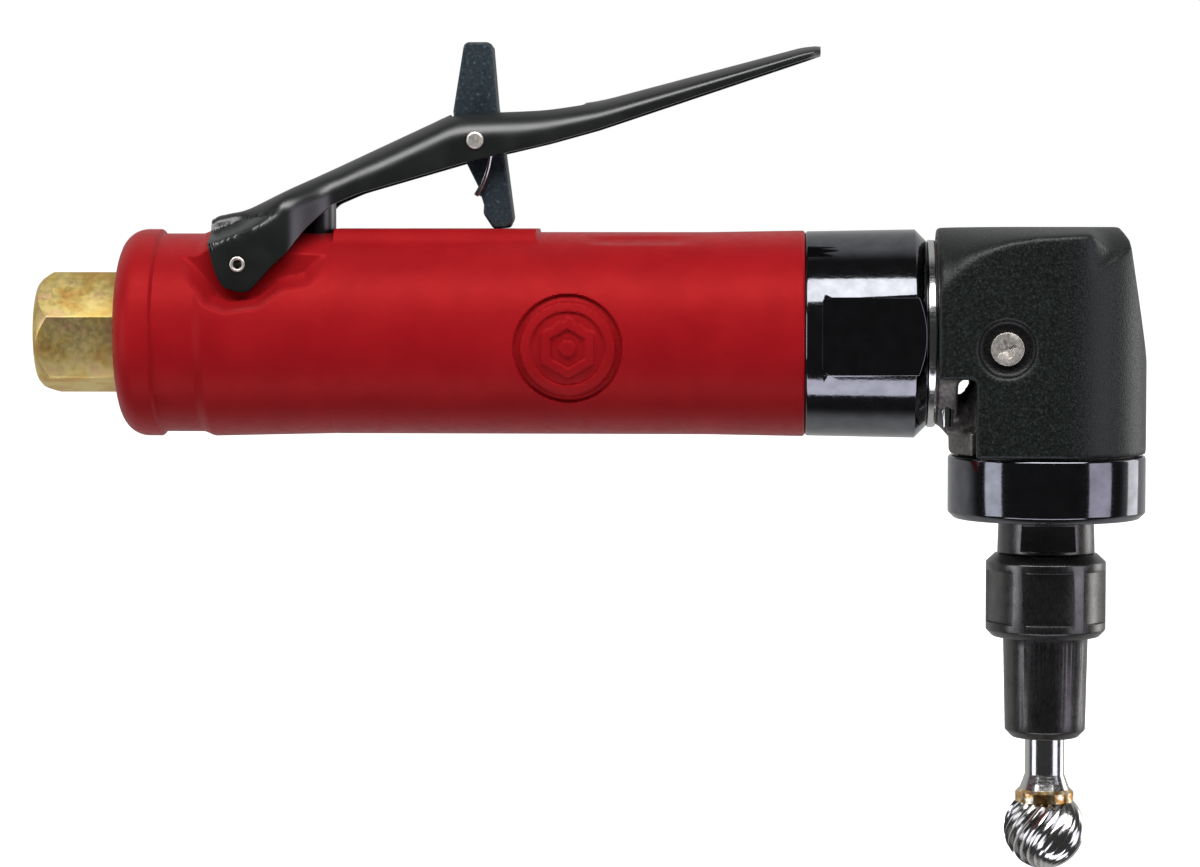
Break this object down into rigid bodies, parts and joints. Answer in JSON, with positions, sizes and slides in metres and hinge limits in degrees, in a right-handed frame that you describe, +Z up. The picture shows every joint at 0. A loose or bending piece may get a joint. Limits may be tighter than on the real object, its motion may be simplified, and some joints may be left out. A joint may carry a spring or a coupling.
{
  "type": "right angle air die grinder",
  "caption": "Right-angle pneumatic die grinder with a lever throttle, a lock-off lever, a hexagonal air inlet and a ball burr held in a collet below its angle head.",
  "frame": {"origin": "mouth of the air inlet, on the motor's axis", "axes": "+X along the body from the inlet to the head, +Z up towards the throttle lever, -Z along the spindle to the burr"},
  "size_m": [0.1781, 0.0334, 0.1328],
  "materials": {
    "red_moulding": "moulded red composite, satin",
    "case_steel": "machined steel",
    "yellow_zinc": "steel with yellow zinc plating",
    "bright_steel": "ground steel",
    "seal_rubber": "black nitrile rubber",
    "felt": "grey felt",
    "brass_bush": "turned brass",
    "black_oxide": "black oxide on turned steel",
    "black_texture": "fine textured black coating",
    "lever_black": "black coated steel sheet",
    "lock_grey": "sintered steel, grey phosphate",
    "phenolic": "laminated phenolic",
    "braze_gold": "braze metal",
    "carbide": "ground tungsten carbide"
  },
  "bodies": {
    "root": {"housing_sleeve": "red_moulding", "motor_case": "case_steel", "inlet_bushing": "yellow_zinc", "inlet_screen": "bright_steel", "inlet_o_ring": "seal_rubber", "exhaust_muffler": "felt", "lever_pin": "bright_steel", "plunger_bush": "brass_bush", "plunger_o_ring": "seal_rubber", "valve_seat": "brass_bush", "valve_spring": "bright_steel", "rear_end_plate": "case_steel", "motor_cylinder": "case_steel", "front_end_plate": "case_steel", "end_plate_dowels": "bright_steel", "motor_spacer": "case_steel", "clamp_ring": "black_oxide", "head_collar": "bright_steel", "angle_housing": "case_steel", "head_cover": "black_texture", "cover_screws": "bright_steel", "neck_screws": "bright_steel", "bearing_cap": "black_oxide", "spindle_seal": "seal_rubber", "pinion_bush": "brass_bush", "rotor_rear_outer_race": "bright_steel", "rotor_front_outer_race": "bright_steel", "pinion_outer_race": "bright_steel", "spindle_upper_outer_race": "bright_steel", "spindle_lower_outer_race": "bright_steel"},
    "lever": {"throttle_lever": "lever_black", "lock_pin": "bright_steel"},
    "lock": {"lock_lever": "lock_grey", "lock_spring": "bright_steel"},
    "plunger": {"throttle_plunger": "lever_black", "throttle_ball": "bright_steel"},
    "rotor": {"rotor": "case_steel", "rotor_vanes": "phenolic", "bevel_pinion": "case_steel", "rotor_rear_inner_race": "bright_steel", "rotor_rear_balls": "bright_steel", "rotor_front_inner_race": "bright_steel", "rotor_front_balls": "bright_steel", "pinion_inner_race": "bright_steel", "pinion_balls": "bright_steel"},
    "spindle": {"spindle": "black_oxide", "bevel_gear": "case_steel", "gear_key": "bright_steel", "gear_snap_ring": "bright_steel", "spindle_upper_inner_race": "bright_steel", "spindle_upper_balls": "bright_steel", "spindle_lower_inner_race": "bright_steel", "spindle_lower_balls": "bright_steel", "collet": "bright_steel", "collet_nut": "black_oxide", "burr_shank": "bright_steel", "burr_braze_ring": "braze_gold", "burr_head": "carbide"}
  },
  "joints": [
    {"name": "lever_hinge", "type": "hinge", "parent": "root", "child": "lever", "pos_m": [0.0336, 0, 0.0112], "axis": [0, 1, 0], "range_deg": [0, 10], "stiffness_Nm_per_rad": 0.6, "springref_deg": -17.19},
    {"name": "lock_hinge", "type": "hinge", "parent": "lever", "child": "lock", "pos_m": [0.071, 0, 0.0309], "axis": [0, 1, 0], "range_deg": [0, 81]},
    {"name": "plunger_slide", "type": "slide", "parent": "root", "child": "plunger", "axis": [0, 0, -1], "range_m": [0, 0.0025], "deforming": ["valve_spring"]},
    {"name": "rotor_spin", "type": "hinge", "parent": "root", "child": "rotor", "pos_m": [0.1, 0, 0], "axis": [1, 0, 0], "continuous": true},
    {"name": "spindle_spin", "type": "hinge", "parent": "root", "child": "spindle", "pos_m": [0.1623, 0, 0], "axis": [0, 0, 1], "continuous": true}
  ],
  "couplings": [
    {"joint": "lock_hinge", "follows": "lever_hinge", "ratio": 8},
    {"joint": "plunger_slide", "follows": "lever_hinge", "m_per_rad": 0.0136},
    {"joint": "spindle_spin", "follows": "rotor_spin", "ratio": -0.66667}
  ]
}
